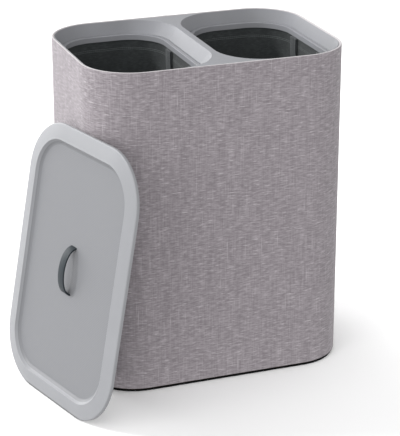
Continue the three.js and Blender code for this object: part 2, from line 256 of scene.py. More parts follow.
# a map in metres: along the outline, and up the wall and over its fold
def wrapMap(piece, shape, foldStart=0.0):
    total = lengthOf(shape)
    middle = Vector((shape["x"], shape["y"], 0))
    leanIn = -1e-4  # below this, a face looks towards the middle
    layer = addMap(piece, "wrap")
    for face in piece.data.polygons:
        places = [piece.data.vertices[vertex].co for vertex in face.vertices]
        across = [alongOutline(shape, place.x, place.y) for place in places]
        if max(across) - min(across) > total / 2:
            across = [value + total if value < total / 2 else value for value in across]
        facesIn = face.normal.xy.dot((face.center - middle).xy) < leanIn
        for corner, place, value in zip(face.loop_indices, places, across):
            up = place.z
            if facesIn and foldStart:
                up = 2 * foldStart - place.z
            layer.data[corner].uv = (value, up + shape["corner"] - fromCore(shape, place).length)


# a map in metres: rule turns a place on the piece into two lengths
def mapBy(piece, rule):
    layer = addMap(piece, "plan")
    for loop in piece.data.loops:
        layer.data[loop.index].uv = rule(piece.data.vertices[loop.vertex_index].co)


# Finishes: sums on wires, the outputs of nodes, add the nodes that work them out

# a colour as a screen gives it, 0 to 255, turned into light by the sRGB curve
def tone(colour):
    channels = []
    for value in colour:
        share = value / 255
        channels.append(share / 12.92 if share <= 0.04045 else ((share + 0.055) / 1.055) ** 2.4)
    return (*channels, 1)


class Wire:
    def __init__(self, finish, socket):
        self.finish = finish
        self.socket = socket

    def math(self, operation, *others):
        return self.finish.node("ShaderNodeMath", {"operation": operation}, dict(enumerate((self, *others))))

    def __add__(self, other):
        return self.math("ADD", other)

    def __sub__(self, other):
        return self.math("SUBTRACT", other)

    def __mul__(self, other):
        return self.math("MULTIPLY", other)

    def __truediv__(self, other):
        return self.math("DIVIDE", other)

    def __lt__(self, other):
        return self.math("LESS_THAN", other)

    # the other value comes first
    def after(self, operation, other):
        return self.finish.node("ShaderNodeMath", {"operation": operation}, {0: other, 1: self})

    def __rsub__(self, other):
        return self.after("SUBTRACT", other)

    def __rtruediv__(self, other):
        return self.after("DIVIDE", other)

    __radd__ = __add__
    __rmul__ = __mul__

    # which of the threads, a pitch apart, this is
    def count(self, pitch):
        return (self / pitch).math("FLOOR")

    # up to a half at each whole pitch and down to nothing between
    def wave(self, pitch):
        return ((self / pitch).math("FRACT") - 0.5).math("ABSOLUTE")

    def dashes(self, pitch, share):
        return (self / pitch).math("FRACT") < share

    def within(self, reach, value=0.0):
        return (self - value).math("ABSOLUTE") < reach


class Finish:
    def __init__(self, name, fixed):
        self.material = bpy.data.materials.new(name)
        self.material.use_nodes = True
        self.tree = self.material.node_tree
        self.shader = self.tree.nodes["Principled BSDF"]
        for socket, value in fixed.items():
            self.shader.inputs[socket].default_value = value

    def node(self, kind, settings=None, values=None, output=0):
        made = self.tree.nodes.new(kind)
        for name, value in (settings or {}).items():
            setattr(made, name, value)
        for name, value in (values or {}).items():
            if isinstance(value, Wire):
                self.tree.links.new(value.socket, made.inputs[name])
            else:
                made.inputs[name].default_value = value
        return Wire(self, made.outputs[output])

    def feed(self, socket, wire):
        self.tree.links.new(wire.socket, self.shader.inputs[socket])

    # own map of a piece as two lengths in metres
    def mapped(self, name):
        both = self.node("ShaderNodeUVMap", {"uv_map": name})
        first = self.node("ShaderNodeSeparateXYZ", None, {0: both})
        return first, Wire(self, first.socket.node.outputs[1])

    def place(self):
        return self.node("ShaderNodeTexCoord", None, None, "Object")

    def scaled(self, where, scale):
        return self.node("ShaderNodeMapping", None, {"Vector": where, "Scale": scale})

    def noise(self, where, scale=1.0, detail=2.0, roughness=0.6, dimensions="3D"):
        return self.node("ShaderNodeTexNoise", {"noise_dimensions": dimensions},
                         {"Vector": where, "Scale": scale, "Detail": detail, "Roughness": roughness}, "Fac")

    def flatNoise(self, x, y, scale=1.0, detail=2.0, roughness=0.6):
        point = self.node("ShaderNodeCombineXYZ", None, {0: x, 1: y})
        return self.noise(point, scale, detail, roughness, "2D")

    def spread(self, value, low, high, toLow=0.0, toHigh=1.0):
        return self.node("ShaderNodeMapRange", None, {0: value, 1: low, 2: high, 3: toLow, 4: toHigh})

    # first and second are wires or colours as tone takes them
    def blend(self, factor, first, second):
        first, second = [colour if isinstance(colour, Wire) else tone(colour) for colour in (first, second)]
        return self.node("ShaderNodeMix", {"data_type": "RGBA"}, {0: factor, 6: first, 7: second}, 2)

    def bump(self, height, strength, distance, below=None):
        values = {"Strength": strength, "Distance": distance, "Height": height}
        if below:
            values["Normal"] = below
        return self.node("ShaderNodeBump", None, values)


# share is how much of first goes in
def mix(first, second, share):
    return first * share + second * (1 - share)


# how high the threads of a plain weave stand, over and under by turns
def weaveHeight(along, up, pitch):
    over = ((up.count(pitch) + along.count(pitch)) * 0.5).math("FRACT") * 2
    return 1 - mix(up.wave(pitch), along.wave(pitch), over)


def dress(piece, finish):
    piece.data.materials.clear()
    piece.data.materials.append(finish.material)


# cloth of mixed yarns: each thread changes tone along its length, and a few run thicker and paler
linen = {
    # the fold's tone and the fold values below paint a highlight along the top of the fold
    "pale": (167, 162, 165), "middle": (144, 138, 142), "deep": (115, 109, 113), "foldHighlightTone": (170, 167, 168),
    "threadPitch": 0.00085, "yarnPitch": 0.0019, "threadStep": 0.73, "weaveDepth": 0.00022, "bump": 0.45,
    "toneLengths": {"weft": 0.0225, "warp": 0.060, "weftYarn": 0.018, "warpYarn": 0.072, "clouds": 0.009},
    "yarnDetail": 2.5, "cloudsUp": 480, "patchesPerMetre": 26,
    "shares": {"weft": 0.28, "warp": 0.1, "weftYarn": 0.29, "warpYarn": 0.13,
               "clouds": 0.17, "patches": 0.03},
    "toneRange": (0.42, 0.58), "threadShare": 0.4, "palest": 0.85,
    "slubs": {"range": (0.6, 0.7), "paler": 0.8, "thicker": 0.6},
    "uprights": {"range": (0.62, 0.74), "paler": 0.5, "thicker": 0.4},
    "foldFrom": 0.6236, "foldFull": 0.6244, "foldTo": 0.6274, "foldHighlightShare": 0.9,
}


def makeLinen():
    cloth = Finish("linenCloth", {"Roughness": 0.92, "Specular IOR Level": 0.25, "Sheen Weight": 0.15,
                                  "Sheen Roughness": 0.5})
    along, up = cloth.mapped("wrap")
    pitch, yarn, step = linen["threadPitch"], linen["yarnPitch"], linen["threadStep"]
    lengths, detail, share = linen["toneLengths"], linen["yarnDetail"], linen["threadShare"]
    slubs, uprights = linen["slubs"], linen["uprights"]
    tones = {
        "weft": cloth.flatNoise(along / lengths["weft"], up.count(pitch) * step),
        "warp": cloth.flatNoise(along.count(pitch) * step, up / lengths["warp"]),
        "weftYarn": cloth.flatNoise(along / lengths["weftYarn"], up.count(yarn) * step, detail=detail),
        "warpYarn": cloth.flatNoise(along.count(yarn) * step, up / lengths["warpYarn"], detail=detail),
        "clouds": cloth.flatNoise(along / lengths["clouds"], up * linen["cloudsUp"]),
        "patches": cloth.flatNoise(along, up, linen["patchesPerMetre"], roughness=0.5),
    }
    mixed = sum(tones[name] * part for name, part in linen["shares"].items())
    slub = cloth.spread(mix(tones["weft"], tones["weftYarn"], share), *slubs["range"])
    upright = cloth.spread(mix(tones["warp"], tones["warpYarn"], share), *uprights["range"])
    colour = cloth.blend(cloth.spread(mixed, *linen["toneRange"]), linen["deep"], linen["middle"])
    paler = (slub * slubs["paler"] + upright * uprights["paler"]).math("MINIMUM", linen["palest"])
    colour = cloth.blend(paler, colour, linen["pale"])
    # painted highlight: the top of the fold is painted paler where light catches its crest
    foldHighlight = cloth.spread(up, linen["foldFrom"], linen["foldFull"]) * (up < linen["foldTo"])
    cloth.feed("Base Color", cloth.blend(foldHighlight * linen["foldHighlightShare"], colour, linen["foldHighlightTone"]))
    height = weaveHeight(along, up, pitch) + slub * slubs["thicker"] + upright * uprights["thicker"]
    cloth.feed("Normal", cloth.bump(height, linen["bump"], linen["weaveDepth"]))
    return cloth


# moulded plastic with a fine spark-eroded grain and faint clouds and scuffs
plasticSurface = {"cloudsPerMetre": 9, "cloudRange": (0.35, 0.65), "scuffsPerMetre": (40, 300, 60),
                  "cloudShare": 0.6, "dullRange": (0.3, 0.7), "smoother": 0.05, "rougher": 0.07, "bump": 0.5}
greyPlastic = {"colour": (118, 119, 122), "paler": (122, 123, 127), "roughness": 0.46, "gloss": 0.14,
               "grainSize": 0.0007, "grainDepth": 0.00003}
lidPlastic = dict(greyPlastic, colour=(128, 129, 132), paler=(132, 133, 136), roughness=0.42, gloss=0.26)
blackPlastic = {"colour": (7, 7, 8), "paler": (13, 13, 14), "roughness": 0.6, "gloss": 0.05,
                "grainSize": 0.0008, "grainDepth": 0.00004}
strapRubber = {"colour": (38, 44, 48), "paler": (48, 53, 57), "roughness": 0.5, "gloss": 0.16,
               "grainSize": 0.0006, "grainDepth": 0.00004}
# on the lid panel the ribs' darker colour is a painted shade for the fine ribs and the recess, and the rib
# crests get a painted highlight
lidRibs = {"straightX": 0.1513, "straightY": 0.0788, "reach": 0.0630, "slopeReach": 0.0700, "pitch": 0.003,
           "depth": 0.0003, "bump": 0.25, "colour": (107, 108, 111), "paintedCrestLight": 0.3,
           # the foot's dark colour and its height range are a painted contact shadow along the edge on the
           # floor
           "wearAndFootShade": (46, 46, 48), "footShadeRange": (0.0032, 0.0062), "footShadeShare": 0.85}


# ribs across the panel, the part of the lid that lies inside its band, with painted shade on the panel and
# its foot and a painted highlight on the rib crests
def addRibs(plastic, ribs, where, colour, bumps):
    along, across = plastic.mapped("plan")
    outX = (along.math("ABSOLUTE") - ribs["straightX"]).math("MAXIMUM", 0)
    outY = (across.math("ABSOLUTE") - ribs["straightY"]).math("MAXIMUM", 0)
    away = (outX * outX + outY * outY).math("SQRT")
    onPanel = away < ribs["reach"]
    wave = along.wave(ribs["pitch"]) * 2
    # painted shade darkens the panel and its inner slope; the rib crests are left paler, a painted highlight
    paintedPanelShade = (away < ribs["slopeReach"]) * (1 - onPanel * wave * ribs["paintedCrestLight"])
    colour = plastic.blend(paintedPanelShade, colour, ribs["colour"])
    # painted shade: the edge that stands on the floor is painted darker near the floor, a painted contact
    # shadow
    height = plastic.node("ShaderNodeSeparateXYZ", None, {0: where}, 2)
    wearAndFootShade = plastic.spread(height, *ribs["footShadeRange"], ribs["footShadeShare"], 0)
    colour = plastic.blend(wearAndFootShade, colour, ribs["wearAndFootShade"])
    return colour, plastic.bump(wave * onPanel, ribs["bump"], ribs["depth"], bumps)


def makePlastic(name, look, ribs=None):
    surface = plasticSurface
    plastic = Finish(name, {"IOR": 1.5, "Specular IOR Level": look["gloss"]})
    where = plastic.place()
    cloudy = plastic.noise(where, surface["cloudsPerMetre"], detail=3, roughness=0.55)
    grain = plastic.noise(where, 1 / look["grainSize"])
    scuffs = plastic.noise(plastic.scaled(where, surface["scuffsPerMetre"]), roughness=0.5)
    colour = plastic.blend(plastic.spread(cloudy, *surface["cloudRange"]), look["colour"], look["paler"])
    bumps = plastic.bump(grain, surface["bump"], look["grainDepth"])
    if ribs:
        colour, bumps = addRibs(plastic, ribs, where, colour, bumps)
    dullness = plastic.spread(mix(cloudy, scuffs, surface["cloudShare"]), *surface["dullRange"],
                              look["roughness"] - surface["smoother"], look["roughness"] + surface["rougher"])
    plastic.feed("Base Color", colour)
    plastic.feed("Roughness", dullness)
    plastic.feed("Normal", bumps)
    return plastic


stitchHeight = 1.5  # the threads of a weave are 1 high

# woven bag cloth, dark, with two rows of stitches below the rim and one above the floor seam
bagWeave = {"colour": (44, 48, 49), "deep": (28, 30, 31), "pale": (65, 69, 70), "thread": (77, 81, 81),
            "pitch": 0.0012, "depth": 0.0003, "bump": 0.5, "heightRange": (0.5, 1),
            "fleckStep": 0.61, "flecksPerMetre": 90, "wornPerMetre": 14,
            "fleckShare": 0.6, "paleRange": (0.45, 0.75), "palest": 0.5,
            "rows": (0.5735, 0.5705, 0.026), "halfStitch": 0.0005, "stitchPitch": 0.0042, "stitchShare": 0.74}


def makeBagCloth():
    look = bagWeave
    cloth = Finish("bagCloth", {"Roughness": 0.88, "Specular IOR Level": 0.3, "Sheen Weight": 0.1})
    along, up = cloth.mapped("wrap")
    height = weaveHeight(along, up, look["pitch"])
    flecks = cloth.flatNoise(up.count(look["pitch"]) * look["fleckStep"], along * look["flecksPerMetre"])
    wearAndFootShade = cloth.flatNoise(along, up, look["wornPerMetre"], detail=3)
    paler = cloth.spread(mix(flecks, wearAndFootShade, look["fleckShare"]), *look["paleRange"], 0, look["palest"])
    colour = cloth.blend(cloth.spread(height, *look["heightRange"]), look["deep"], look["colour"])
    colour = cloth.blend(paler, colour, look["pale"])
    onRow = sum(up.within(look["halfStitch"], row) for row in look["rows"])
    stitches = onRow * along.dashes(look["stitchPitch"], look["stitchShare"])
    cloth.feed("Base Color", cloth.blend(stitches, colour, look["thread"]))
    cloth.feed("Normal", cloth.bump(height + stitches * stitchHeight, look["bump"], look["depth"]))
    return cloth


# webbing with a herringbone, and stitches along its sides
webbing = {"colour": (36, 39, 41), "pale": (60, 64, 66), "thread": (81, 85, 87), "rib": 0.0014, "bend": 0.004,
           "depth": 0.0003, "bump": 0.6, "ribShare": 0.6, "fuzzShare": 0.3, "fuzzPerMetre": 900,
           "stitchInset": 0.0022, "halfStitch": 0.0005, "stitchPitch": 0.0036, "stitchShare": 0.72,
           "halfCross": 0.0006, "crossPitch": 0.003}


# half is half the width; rows are where stitches run across, if any do, with a cross between them
def makeWebbing(name, half, rows=()):
    look = webbing
    band = Finish(name, {"Roughness": 0.8, "Specular IOR Level": 0.35, "Sheen Weight": 0.1})
    along, across = band.mapped("plan")
    aside = across.math("ABSOLUTE").wave(look["bend"]) * look["bend"]
    weave = (along + aside).wave(look["rib"]) * 2
    fuzz = band.flatNoise(along, across, look["fuzzPerMetre"])
    colour = band.blend(weave * look["ribShare"] + fuzz * look["fuzzShare"], look["colour"], look["pale"])
    pitch, share, sewn = look["stitchPitch"], look["stitchShare"], half - look["stitchInset"]
    stitches = across.math("ABSOLUTE").within(look["halfStitch"], sewn) * along.dashes(pitch, share)
    for row in rows:
        onRow = along.within(look["halfStitch"], row) * across.within(sewn)
        stitches = stitches + onRow * across.dashes(pitch, share)
    if rows:
        low, high = min(rows), max(rows)
        middle, slope = (low + high) / 2, sewn * 2 / (high - low)
        for sign in (1, -1):
            slant = across - (along - middle) * (slope * sign)
            cross = slant.within(look["halfCross"]) * along.within((high - low) / 2, middle)
            stitches = stitches + cross * along.dashes(look["crossPitch"], share)
    stitches = stitches.math("MINIMUM", 1)
    band.feed("Base Color", band.blend(stitches, colour, look["thread"]))
    band.feed("Normal", band.bump(weave + stitches * stitchHeight, look["bump"], look["depth"]))
    return band


# pressed board with upright fibres
boardCard = {"colour": (140, 127, 107), "deep": (119, 105, 85), "pale": (156, 144, 125)}
linerCard = {"colour": (47, 49, 51), "deep": (38, 39, 41), "pale": (62, 64, 65)}
cardSurface = {"fibresPerMetre": (900, 900, 160), "fibreRange": (0.35, 0.65), "cloudsPerMetre": 22,
               "paleRange": (0.5, 0.75), "palest": 0.5, "depth": 0.00015, "bump": 0.4}


def makeCard(name, look):
    surface = cardSurface
    card = Finish(name, {"Roughness": 0.85, "Specular IOR Level": 0.3})
    where = card.place()
    fibres = card.noise(card.scaled(where, surface["fibresPerMetre"]), detail=3, roughness=0.65)
    cloudy = card.noise(where, surface["cloudsPerMetre"], detail=3)
    colour = card.blend(card.spread(fibres, *surface["fibreRange"]), look["deep"], look["colour"])
    paler = card.spread(cloudy, *surface["paleRange"], 0, surface["palest"])
    card.feed("Base Color", card.blend(paler, colour, look["pale"]))
    card.feed("Normal", card.bump(fibres, surface["bump"], surface["depth"]))
    return card


linenFinish = makeLinen()
greyFinish = makePlastic("greyPlastic", greyPlastic)
lidFinish = makePlastic("lidPlastic", lidPlastic, lidRibs)
blackFinish = makePlastic("blackPlastic", blackPlastic)
rubberFinish = makePlastic("strapRubber", strapRubber)
bagFinish = makeBagCloth()
cardFinish = makeCard("wallBoard", boardCard)
linerFinish = makeCard("linerBoard", linerCard)
print("finishes made")


# The view: the photograph's angle, a plain floor and soft studio light

view = {"place": (-1.1392, -3.0960, 1.5356), "downDegrees": 21.1, "rightDegrees": 20.34, "lens": 149.9,
        "reach": 60}
bpy.ops.object.camera_add(location=view["place"], rotation=(
    math.radians(90 - view["downDegrees"]), 0, -math.radians(view["rightDegrees"])))
camera = bpy.context.object
camera.data.lens = view["lens"]
camera.data.clip_end = view["reach"]
bpy.context.scene.camera = camera

# three lights for a wide window on the left and behind, and a weak one in front: where each stands, its
# strength and its softness in degrees
lights = {"windowBack": ((-0.4, 0.85, 0.25), 2.90, 50), "windowHigh": ((-0.7, 0.35, 0.55), 2.13, 10),
          "windowFront": ((-0.75, -0.35, 0.35), 1.13, 50), "roomFront": ((-0.1, -0.8, 0.5), 0.94, 50)}
lampDistance = 3
for lightName, (direction, strength, softness) in lights.items():
    bpy.ops.object.light_add(type="SUN", location=Vector(direction) * lampDistance)
    lamp = bpy.context.object
    lamp.name = lightName
    lamp.data.energy = strength
    lamp.data.angle = math.radians(softness)
    lamp.rotation_euler = Vector(direction).to_track_quat("Z", "Y").to_euler()

room = {"colour": (1, 1, 1, 1), "strength": 0.87}
world = bpy.data.worlds.new("studio")
bpy.context.scene.world = world
world.use_nodes = True
background = world.node_tree.nodes["Background"].inputs
background["Color"].default_value = room["colour"]
background["Strength"].default_value = room["strength"]
bpy.context.scene.view_settings.view_transform = "Standard"

floorLook = {"size": 40, "level": -0.0004, "colour": (0.9, 0.9, 0.9, 1)}
bpy.ops.mesh.primitive_plane_add(size=floorLook["size"], location=(0, 0, floorLook["level"]))
floor = bpy.context.object
floor.name = "floor"
floor.visible_diffuse = False  # the paper throws no light back up at the hamper
dress(floor, Finish("paleFloor", {"Base Color": floorLook["colour"], "Roughness": 0.9,
                                  "Specular IOR Level": 0.1}))
print("camera, light and floor made")


# The hamper

hamperShape = outline(0.2525, 0.180, 0.095)
hamperTop = 0.624

# cloth: up the outside, over a soft fold and down inside, with a lap seam at the middle of the back
coverSizes = {
    "bottom": 0.0064, "foldRadius": 0.0016, "innerRadius": 0.0022, "across": 0.0048, "foldDepth": 0.025,
    "thickness": 0.0009, "hemRadius": 0.0009, "cornerSteps": 28, "flatHeight": 0.648,
    "seamWidth": 0.011, "seamRise": 0.0005, "seamEdge": 0.0006, "backFrom": 0.17, "backHalf": 0.16,
}


# the ends of the cloth lap over each other
def raiseSeam(piece):
    size = coverSizes
    half = size["seamWidth"] / 2
    flat = half - size["seamEdge"]

    def isBack(face, halfWidth):
        middle = face.calc_center_median()
        return middle.y > size["backFrom"] and abs(middle.x) < halfWidth

    for x in (-half, -flat, flat, half):
        pick(piece, "FACE", lambda face: isBack(face, size["backHalf"]))
        bpy.ops.mesh.bisect(plane_co=(x, 0, 0), plane_no=(1, 0, 0))
    pick(piece, "FACE", lambda face: isBack(face, flat))
    bpy.ops.transform.shrink_fatten(value=size["seamRise"])


def makeCover():
    size = coverSizes
    radius, inner, hem = size["foldRadius"], size["innerRadius"], size["hemRadius"]
    foldStart, hemTop = hamperTop - radius, size["bottom"] + hem
    piece = roundedSlab("linenCover", hamperShape, hemTop, foldStart, size["cornerSteps"])
    profile = arc(radius, foldStart, radius, 0, 90, steps=5)[1:]
    profile += arc(size["across"] - inner, hamperTop - inner, inner, 90, 180, steps=6)
    stepIn(piece, True, (0, foldStart), profile)
    extrudeBy(z=inner - size["foldDepth"])
    dropPicked()
    stepIn(piece, False, (0, hemTop), arc(hem, hemTop, hem, 0, -90, steps=3)[1:])
    dropPicked()
    raiseSeam(piece)
    closeEdit()
    wrapMap(piece, hamperShape, foldStart)
    applyModifier(piece, "SOLIDIFY", thickness=size["thickness"], offset=-1.0, use_even_offset=True)
    smooth(piece, degrees=40)
    dress(piece, linenFinish)
    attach(piece, "hamper")
    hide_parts("fabric_cover")
    return piece


# two rows of stitches down the lap seam
stitchSizes = {"size": (0.0006, 0.0005, 0.0026), "edge": 0.00018, "fromMiddle": 0.0038, "stand": 0.0001,
               "low": 0.012, "rowLength": 0.606, "pitch": 0.0036, "twists": (1500, 1500, 4500),
               "deep": (109, 103, 106), "pale": (140, 135, 137)}


def makeSeamStitches():
    size = stitchSizes
    y = hamperShape["halfY"] + coverSizes["seamRise"] + size["stand"]
    piece = addBox("seamStitches", (size["fromMiddle"], y, size["low"]), size["size"])
    pickAll()
    bevelPicked(size["edge"], steps=1)
    bpy.ops.mesh.duplicate_move(TRANSFORM_OT_translate={"value": (-2 * size["fromMiddle"], 0, 0)})
    closeEdit()
    applyModifier(piece, "ARRAY", count=int(size["rowLength"] / size["pitch"]), use_relative_offset=False,
                  use_constant_offset=True, constant_offset_displace=(0, 0, size["pitch"]))
    thread = Finish("linenThread", {"Roughness": 0.85})
    twist = thread.noise(thread.scaled(thread.place(), size["twists"]), detail=1, roughness=0.5)
    thread.feed("Base Color", thread.blend(twist, size["deep"], size["pale"]))
    dress(piece, thread)
    smooth(piece, degrees=40, weighted=False)
    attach(piece, "hamper")
    return piece


cover = makeCover()
seamStitches = makeSeamStitches()
lengthOf(hamperShape) + coverSizes["seamWidth"]
print("cloth cover made")


# top frame: a deck with two funnels that end in a shelf and a hole for each bag
frameSizes = {
    "shape": outline(0.2474, 0.1749, 0.0899), "top": 0.6232, "bottom": 0.594, "outerRadius": 0.0016,
    "edgeRadius": 0.0008, "slopeDepth": 0.023, "slopeInset": 0.0092, "crossbarShift": 0.0063,
    "shelfDrop": 0.003, "shelfWidth": 0.005, "cornerSteps": 24,
}
binShape = outline(0.11985, 0.1737, 0.0887, 0.12635)
slopeFoot = outline(0.1075, 0.1645, 0.0795, 0.1295)


def makeFunnelCutter(side):
    size = frameSizes
    edge, top, shelfWidth = size["edgeRadius"], size["top"], size["shelfWidth"]
    shape = onSide(grow(binShape, edge), side)
    cutter = roundedSlab("funnelCutter", shape, top, top + past, size["cornerSteps"])
    slopeEnd = top - size["slopeDepth"]
    rounding = arc(0, top - edge, edge, 90, 180)[1:]
    stepIn(cutter, False, (0, top), rounding + [(edge + size["slopeInset"], slopeEnd)])
    # the funnel leans in further beside the crossbar
    mesh = bmesh.from_edit_mesh(cutter.data)
    foot = {vert for face in mesh.faces if face.select for vert in face.verts}
    pick(cutter, "VERT", lambda vert: vert in foot and (vert.co.x - shape["x"]) * side < 0)
    bpy.ops.transform.translate(value=(side * size["crossbarShift"], 0, 0))
    shelf, hole = slopeEnd - size["shelfDrop"], size["bottom"] - past
    stepIn(cutter, False, (0, slopeEnd), [(0, shelf), (shelfWidth, shelf), (shelfWidth, hole)])
    return cutter


def makeTopFrame():
    size = frameSizes
    outer = size["outerRadius"]
    start = size["top"] - outer
    piece = roundedSlab("topFrame", size["shape"], size["bottom"], start, size["cornerSteps"])
    stepIn(piece, True, (0, start), arc(outer, start, outer, 0, 90)[1:])
    cutAway(piece, makeFunnelCutter(1), makeFunnelCutter(-1))
    smooth(piece)
    dress(piece, greyFinish)
    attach(piece, "hamper")
    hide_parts("top_frame")


makeTopFrame()
print("top frame made")

# black base: a tray with an upstand for the walls and a low divider
traySizes = {
    "shape": outline(0.250, 0.1775, 0.0925), "top": 0.006, "chamfer": 0.001, "upstandInset": 0.0014,
    "upstandThickness": 0.003, "upstandTop": 0.028, "edge": 0.0005, "pocketDepth": 0.003, "landWidth": 0.014,
    "centreLand": 0.026, "cornerSteps": 20, "divider": outline(0.0015, 0.1666, 0.00135), "dividerTop": 0.020,
    "dividerRoot": 0.001,
}


def makeTray():
    size = traySizes
    shape, top, edge, chamfer = size["shape"], size["top"], size["edge"], size["chamfer"]
    outer, upstandTop = size["upstandInset"], size["upstandTop"]
    inner = outer + size["upstandThickness"]
    piece = roundedSlab("footTray", shape, chamfer, top, size["cornerSteps"])
    stepIn(piece, False, (0, chamfer), [(chamfer, 0)])
    stepIn(piece, True, (0, top), [
        (outer, top), (outer, upstandTop - edge), (outer + edge, upstandTop),
        (inner - edge, upstandTop), (inner, upstandTop - edge), (inner, top)])
    land, centreHalf = size["landWidth"], size["centreLand"] / 2
    pocketHalf = (shape["halfX"] - land - centreHalf) / 2
    pocket = outline(pocketHalf, shape["halfY"] - land, shape["corner"] - land, centreHalf + pocketHalf)
    for side in (1, -1):
        cutter = roundedSlab("pocket", onSide(pocket, side), -past, size["pocketDepth"], size["cornerSteps"])
        cutAway(piece, cutter)
    dividerLow = top - size["dividerRoot"]
    joinAll(piece, roundedSlab("divider", size["divider"], dividerLow, size["dividerTop"], steps=3))
    smooth(piece)
    dress(piece, blackFinish)
    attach(piece, "hamper")
    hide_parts("base_tray")


makeTray()

wallSizes = {
    "body_board": {"shape": outline(0.2513, 0.1788, 0.0938), "low": 0.006, "high": 0.6228},
    "liner_board": {"shape": outline(0.2486, 0.1761, 0.0911), "low": 0.028, "high": 0.594},
    "thickness": 0.0024, "cornerSteps": 24,
}
for node, finish, slotName, name in (("body_board", cardFinish, "wall_board", "wallBoard"),
                                     ("liner_board", linerFinish, "liner_board", "linerWall")):
    size = wallSizes[node]
    wall = ringWall(name, size["shape"], wallSizes["thickness"], size["low"], size["high"],
                    wallSizes["cornerSteps"])
    smooth(wall)
    dress(wall, finish)
    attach(wall, "hamper")
    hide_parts(node)
print("base and walls made")


# The two bags

bagShape = outline(0.1017, 0.1587, 0.0737, 0.1295)
bagSizes = {
    "top": 0.5972, "bottom": 0.010, "wall": 0.0012, "bottomRadius": 0.012, "floorRing": 0.032,
    "cornerSteps": 14, "sideCuts": 10, "rings": 34, "flatHeight": 0.690,
    "straight": 0.060, "taper": 0.005, "taperEnd": 0.022, "stiffTo": 0.024,
    "sag": 0.009, "sagHalfX": 0.085, "sagHalfY": 0.145, "sagVaries": 0.35, "sagWaves": 9, "sideShare": 0.97,
    "creaseDepth": 0.0028, "creaseMiddle": 0.9, "creases": (14, 14, 3), "fineCreases": (34, 34, 8),
    "fineShare": 0.5, "seed": 3.7,
}


def creaseNoise(place, perMetre, shift):
    return noise.noise(Vector([value * scale + by for value, scale, by in zip(place, perMetre, shift)]))


# how far a place on a bag's wall is drawn in: the cloth hangs straight under its rim, then tapers, sags
# towards the middle of each side and has long soft creases
def drawIn(shape, place, phase):
    size = bagSizes
    x, y, z = place.x - shape["x"], place.y, place.z
    fall = size["top"] - size["straight"]
    reach = min(max((fall - z) / (fall - size["taperEnd"]), 0), 1)
    free = math.sin(math.pi * reach) if z > size["stiffTo"] else 0
    flat = 0.0
    if abs(y / shape["halfY"]) > size["sideShare"]:
        flat = max(1 - abs(x) / size["sagHalfX"], 0)
    elif abs(x / shape["halfX"]) > size["sideShare"]:
        flat = max(1 - abs(y) / size["sagHalfY"], 0)
    varies = size["sagVaries"]
    sag = size["sag"] * flat * (1 - varies + varies * math.sin(phase + y * size["sagWaves"]))
    wave = creaseNoise(place, size["creases"], (phase, 0, 0))
    wave += size["fineShare"] * creaseNoise(place, size["fineCreases"], (0, phase, 0))
    return size["taper"] * reach + free * (sag + size["creaseDepth"] * (wave + size["creaseMiddle"]))


def makeBag(sideName, side):
    size = bagSizes
    body, shape = sideName + "_bag", onSide(bagShape, side)
    radius, start = size["bottomRadius"], size["bottom"] + size["bottomRadius"]
    piece = roundedSlab(sideName + "Bag", shape, start, size["top"], size["cornerSteps"], size["sideCuts"])
    pickUprights(piece)
    bpy.ops.mesh.subdivide(number_cuts=size["rings"])
    floorCurve = arc(radius, start, radius, 0, -90)[1:]
    stepIn(piece, False, (0, start), floorCurve + [(size["floorRing"], size["bottom"])])
    bpy.ops.mesh.poke()
    pick(piece, "FACE", lambda face: face.normal.z > squarely)
    dropPicked()
    closeEdit()
    wrapMap(piece, shape)
    phase = size["seed"] * (2 + side)  # each bag creases in its own way
    for vert in piece.data.vertices:
        if vert.co.z > size["bottom"] + near:
            vert.co -= fromCore(shape, vert.co).normalized() * drawIn(shape, vert.co, phase)
        else:  # the floor narrows with the wall's foot
            inwards = Vector((shape["x"] - vert.co.x, -vert.co.y, 0))
            if inwards.length > near:
                vert.co += inwards.normalized() * min(size["taper"], inwards.length)
    applyModifier(piece, "SOLIDIFY", thickness=size["wall"], offset=-1.0)
    smooth(piece, degrees=60, weighted=False)
    dress(piece, bagFinish)
    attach(piece, body)
    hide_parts(body)
    lengthOf(shape)
    body + "_rim"


# a stiff rim with a band that goes down inside the bag
rimSizes = {"low": 0.5975, "high": 0.5997, "edge": 0.0011, "bandOuter": 0.0067, "bandInner": 0.0087,
            "bandBottom": 0.5895, "gap": 0.0006, "cornerSteps": 24}


def makeRim(sideName, side):
    size = rimSizes
    body, shape = sideName + "_bag", grow(onSide(slopeFoot, side), -size["gap"])
    low, edge, start = size["low"], size["edge"], size["high"] - size["edge"]
    piece = roundedSlab(sideName + "BagRim", shape, low, start, size["cornerSteps"])
    stepIn(piece, False, (0, low), [(size["bandOuter"], low), (size["bandOuter"], size["bandBottom"])])
    dropPicked()
    profile = arc(edge, start, edge, 0, 90, steps=3)[1:]
    profile += arc(size["bandInner"] - edge, start, edge, 90, 180, steps=3)
    stepIn(piece, True, (0, start), profile + [(size["bandInner"], size["bandBottom"])])
    dropPicked()
    bridgeRims(piece)
    smooth(piece)
    dress(piece, greyFinish)
    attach(piece, body)
    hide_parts(body + "_rim")


floorBoardSizes = {"inset": 0.0185, "low": 0.0115, "high": 0.0145, "edge": 0.0008, "cornerSteps": 16}


def makeFloorBoard(sideName, side):
    size = floorBoardSizes
    body, shape = sideName + "_bag", grow(onSide(bagShape, side), -size["inset"])
    edge = size["edge"]
    low, high = size["low"] + edge, size["high"] - edge
    piece = roundedSlab(sideName + "BagFloorBoard", shape, low, high, size["cornerSteps"])
    stepIn(piece, True, (0, high), arc(edge, high, edge, 0, 90, steps=3)[1:])
    stepIn(piece, False, (0, low), arc(edge, low, edge, 0, -90, steps=3)[1:])
    smooth(piece)
    dress(piece, linerFinish)
    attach(piece, body)
    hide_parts(body + "_floor_board")


